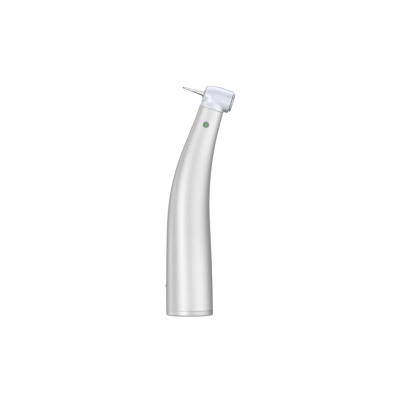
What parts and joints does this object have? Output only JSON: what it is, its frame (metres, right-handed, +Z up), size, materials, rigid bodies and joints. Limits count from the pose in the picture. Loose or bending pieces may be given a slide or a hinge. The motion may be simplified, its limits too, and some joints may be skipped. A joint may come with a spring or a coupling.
{
  "type": "contra angle handpiece",
  "caption": "Slim bent dental handpiece in satin steel that carries a push-button chuck head with a tapered bur, driven through bevel gears from a motor socket at its rear",
  "frame": {"origin": "bottom centre of the bounding box, on the plane of the rear end face that the part stands on; the grip axis is 4.58 mm from it, at -X", "axes": "+Z up along the grip axis, -X the way the bur points, +X the side of the push button"},
  "size_m": [0.0304, 0.0204, 0.0986],
  "materials": {
    "satin_sleeve": "fine satin",
    "chrome_head": "satin to polished",
    "chrome_button": "polished",
    "turned_steel": "turned",
    "brass": "turned",
    "gear_steel": "hardened and ground",
    "bearing_steel": "ground",
    "ball_cage": "phenolic cage with polished balls",
    "bur_steel": "ground",
    "spring_steel": "tempered",
    "seal_rubber": "matt",
    "green_enamel": "fired enamel",
    "optic_glass": "polished"
  },
  "bodies": {
    "housing": {"outer_sleeve": "satin_sleeve", "rear_ring": "satin_sleeve", "rear_o_ring": "seal_rubber", "coupling_sleeve": "turned_steel", "locating_pin": "turned_steel", "colour_dot": "green_enamel", "gear_block": "turned_steel", "block_screw_left": "gear_steel", "block_screw_right": "gear_steel", "rear_circlip": "spring_steel", "light_rod": "optic_glass", "water_tube": "turned_steel", "air_tube": "turned_steel", "head_housing": "chrome_head", "sleeve_o_ring": "seal_rubber", "light_window": "optic_glass", "spray_ring": "turned_steel", "head_cap_ring": "chrome_head", "front_tube": "turned_steel", "button_spring": "spring_steel", "head_front_bearing_outer_race": "bearing_steel", "head_rear_bearing_outer_race": "bearing_steel", "front_shaft_upper_bearing_outer_race": "bearing_steel", "front_shaft_lower_bearing_outer_race": "bearing_steel", "drive_shaft_front_bearing_outer_race": "bearing_steel", "drive_shaft_rear_bearing_outer_race": "bearing_steel"},
    "drive_train": {"drive_shaft": "gear_steel", "drive_dog": "turned_steel", "shaft_spacer": "brass", "drive_pinion": "gear_steel", "drive_shaft_front_bearing_inner_race": "bearing_steel", "drive_shaft_rear_bearing_inner_race": "bearing_steel"},
    "front_train": {"front_shaft": "gear_steel", "driven_gear": "gear_steel", "front_pinion": "gear_steel", "front_shaft_upper_bearing_inner_race": "bearing_steel", "front_shaft_lower_bearing_inner_race": "bearing_steel"},
    "chuck": {"chuck_spindle": "turned_steel", "head_gear": "gear_steel", "jaw_carrier": "turned_steel", "jaw_spring_upper": "spring_steel", "jaw_spring_lower": "spring_steel", "head_front_bearing_inner_race": "bearing_steel", "head_rear_bearing_inner_race": "bearing_steel"},
    "upper_jaw": {"chuck_jaw_upper": "gear_steel"},
    "lower_jaw": {"chuck_jaw_lower": "gear_steel"},
    "bur": {"bur": "bur_steel"},
    "button": {"push_button": "chrome_button", "release_cone": "brass"},
    "head_front_bearing_balls": {"head_front_bearing_ball_set": "ball_cage"},
    "head_rear_bearing_balls": {"head_rear_bearing_ball_set": "ball_cage"},
    "front_shaft_upper_bearing_balls": {"front_shaft_upper_bearing_ball_set": "ball_cage"},
    "front_shaft_lower_bearing_balls": {"front_shaft_lower_bearing_ball_set": "ball_cage"},
    "drive_shaft_front_bearing_balls": {"drive_shaft_front_bearing_ball_set": "ball_cage"},
    "drive_shaft_rear_bearing_balls": {"drive_shaft_rear_bearing_ball_set": "ball_cage"}
  },
  "joints": [
    {"name": "drive_shaft_spin", "type": "hinge", "parent": "housing", "child": "drive_train", "pos_m": [-0.00458, 0, 0.03], "axis": [0, 0, 1], "continuous": true},
    {"name": "front_shaft_spin", "type": "hinge", "parent": "housing", "child": "front_train", "pos_m": [0.00649, 0, 0.09353], "axis": [0.304, 0, 0.9527], "continuous": true},
    {"name": "chuck_spin", "type": "hinge", "parent": "housing", "child": "chuck", "pos_m": [0.00649, 0, 0.09353], "axis": [0.9527, 0, -0.304], "continuous": true},
    {"name": "button_press", "type": "slide", "parent": "housing", "child": "button", "axis": [-0.9527, 0, 0.304], "range_m": [0, 0.00055], "deforming": ["button_spring"]},
    {"name": "upper_jaw_open", "type": "slide", "parent": "chuck", "child": "upper_jaw", "axis": [0.304, 0, 0.9527], "range_m": [0, 0.000275], "deforming": ["jaw_spring_upper"]},
    {"name": "lower_jaw_open", "type": "slide", "parent": "chuck", "child": "lower_jaw", "axis": [-0.304, 0, -0.9527], "range_m": [0, 0.000275], "deforming": ["jaw_spring_lower"]},
    {"name": "bur_release", "type": "slide", "parent": "chuck", "child": "bur", "axis": [-0.9527, 0, 0.304], "range_m": [0, 0.0125]},
    {"name": "head_front_bearing_ball_spin", "type": "hinge", "parent": "housing", "child": "head_front_bearing_balls", "pos_m": [0.00649, 0, 0.09353], "axis": [0.9527, 0, -0.304], "continuous": true},
    {"name": "head_rear_bearing_ball_spin", "type": "hinge", "parent": "housing", "child": "head_rear_bearing_balls", "pos_m": [0.00649, 0, 0.09353], "axis": [0.9527, 0, -0.304], "continuous": true},
    {"name": "front_shaft_upper_bearing_ball_spin", "type": "hinge", "parent": "housing", "child": "front_shaft_upper_bearing_balls", "pos_m": [0.00649, 0, 0.09353], "axis": [0.304, 0, 0.9527], "continuous": true},
    {"name": "front_shaft_lower_bearing_ball_spin", "type": "hinge", "parent": "housing", "child": "front_shaft_lower_bearing_balls", "pos_m": [0.00649, 0, 0.09353], "axis": [0.304, 0, 0.9527], "continuous": true},
    {"name": "drive_shaft_front_bearing_ball_spin", "type": "hinge", "parent": "housing", "child": "drive_shaft_front_bearing_balls", "pos_m": [-0.00458, 0, 0], "axis": [0, 0, 1], "continuous": true},
    {"name": "drive_shaft_rear_bearing_ball_spin", "type": "hinge", "parent": "housing", "child": "drive_shaft_rear_bearing_balls", "pos_m": [-0.00458, 0, 0], "axis": [0, 0, 1], "continuous": true}
  ],
  "couplings": [
    {"joint": "front_shaft_spin", "follows": "drive_shaft_spin", "ratio": -0.75},
    {"joint": "chuck_spin", "follows": "drive_shaft_spin", "ratio": -0.5},
    {"joint": "upper_jaw_open", "follows": "button_press", "ratio": 0.5},
    {"joint": "lower_jaw_open", "follows": "button_press", "ratio": 0.5},
    {"joint": "head_front_bearing_ball_spin", "follows": "drive_shaft_spin", "ratio": -0.20561},
    {"joint": "head_rear_bearing_ball_spin", "follows": "drive_shaft_spin", "ratio": -0.20561},
    {"joint": "front_shaft_upper_bearing_ball_spin", "follows": "drive_shaft_spin", "ratio": -0.2774},
    {"joint": "front_shaft_lower_bearing_ball_spin", "follows": "drive_shaft_spin", "ratio": -0.2774},
    {"joint": "drive_shaft_front_bearing_ball_spin", "follows": "drive_shaft_spin", "ratio": 0.39},
    {"joint": "drive_shaft_rear_bearing_ball_spin", "follows": "drive_shaft_spin", "ratio": 0.39}
  ]
}
